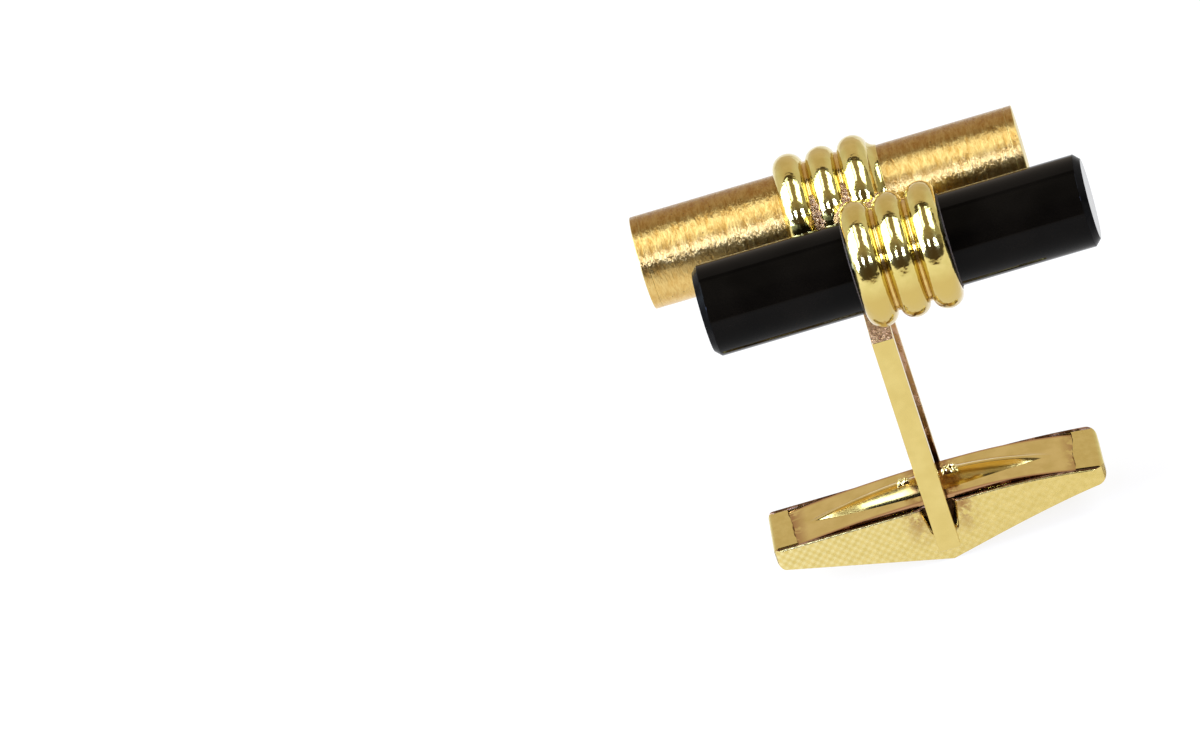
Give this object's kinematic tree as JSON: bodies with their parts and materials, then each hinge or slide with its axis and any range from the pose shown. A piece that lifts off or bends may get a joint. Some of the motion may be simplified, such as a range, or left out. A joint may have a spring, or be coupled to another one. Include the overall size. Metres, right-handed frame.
{
  "type": "cufflink",
  "caption": "Baton cufflink: gold tube and black onyx rod side by side in ribbed collars, on a forked post with a boat-shaped toggle that swivels end over end",
  "frame": {"origin": "Under the middle of the pair of rods, level with the lowest line of the toggle's keel, with the toggle closed (in line with the rods).", "axes": "X runs along the rods, +X towards the end where the onyx rod stands further out. Y is the pivot axis of the toggle, from the onyx rod (-Y) to the gold tube (+Y). Z points from the toggle up to the rods."},
  "size_m": [0.024, 0.0138, 0.0234],
  "materials": {
    "satin_gold": "satin gold, finely brushed round the tube",
    "polished_gold": "mirror-polished gold",
    "toggle_gold": "gold, cross-hatched satin side walls and polished keel",
    "solder": "dull coppery gold",
    "onyx": "polished black",
    "cement": "matte dark brown"
  },
  "bodies": {
    "face": {"gold_tube": "satin_gold", "gold_end_cap_left": "satin_gold", "gold_end_cap_right": "satin_gold", "gold_collar_sleeve": "polished_gold", "gold_collar_rib_1": "polished_gold", "gold_collar_rib_2": "polished_gold", "gold_collar_rib_3": "polished_gold", "onyx_rod": "onyx", "onyx_cement": "cement", "onyx_collar_sleeve": "polished_gold", "onyx_collar_rib_1": "polished_gold", "onyx_collar_rib_2": "polished_gold", "onyx_collar_rib_3": "polished_gold", "seam_solder_top": "solder", "seam_solder_bottom": "solder", "post_strap": "polished_gold", "strap_solder": "solder", "pivot_pin": "polished_gold", "pivot_cam": "polished_gold", "leg_spacer_front": "polished_gold", "leg_spacer_rear": "polished_gold"},
    "toggle": {"toggle_shell": "toggle_gold", "toggle_spring_plate": "polished_gold"}
  },
  "joints": [
    {"name": "toggle_swivel", "type": "hinge", "parent": "face", "child": "toggle", "pos_m": [-0.0007, 0, 0.00265], "axis": [0, 1, 0], "continuous": true, "deforming": ["toggle_spring_plate"]}
  ]
}
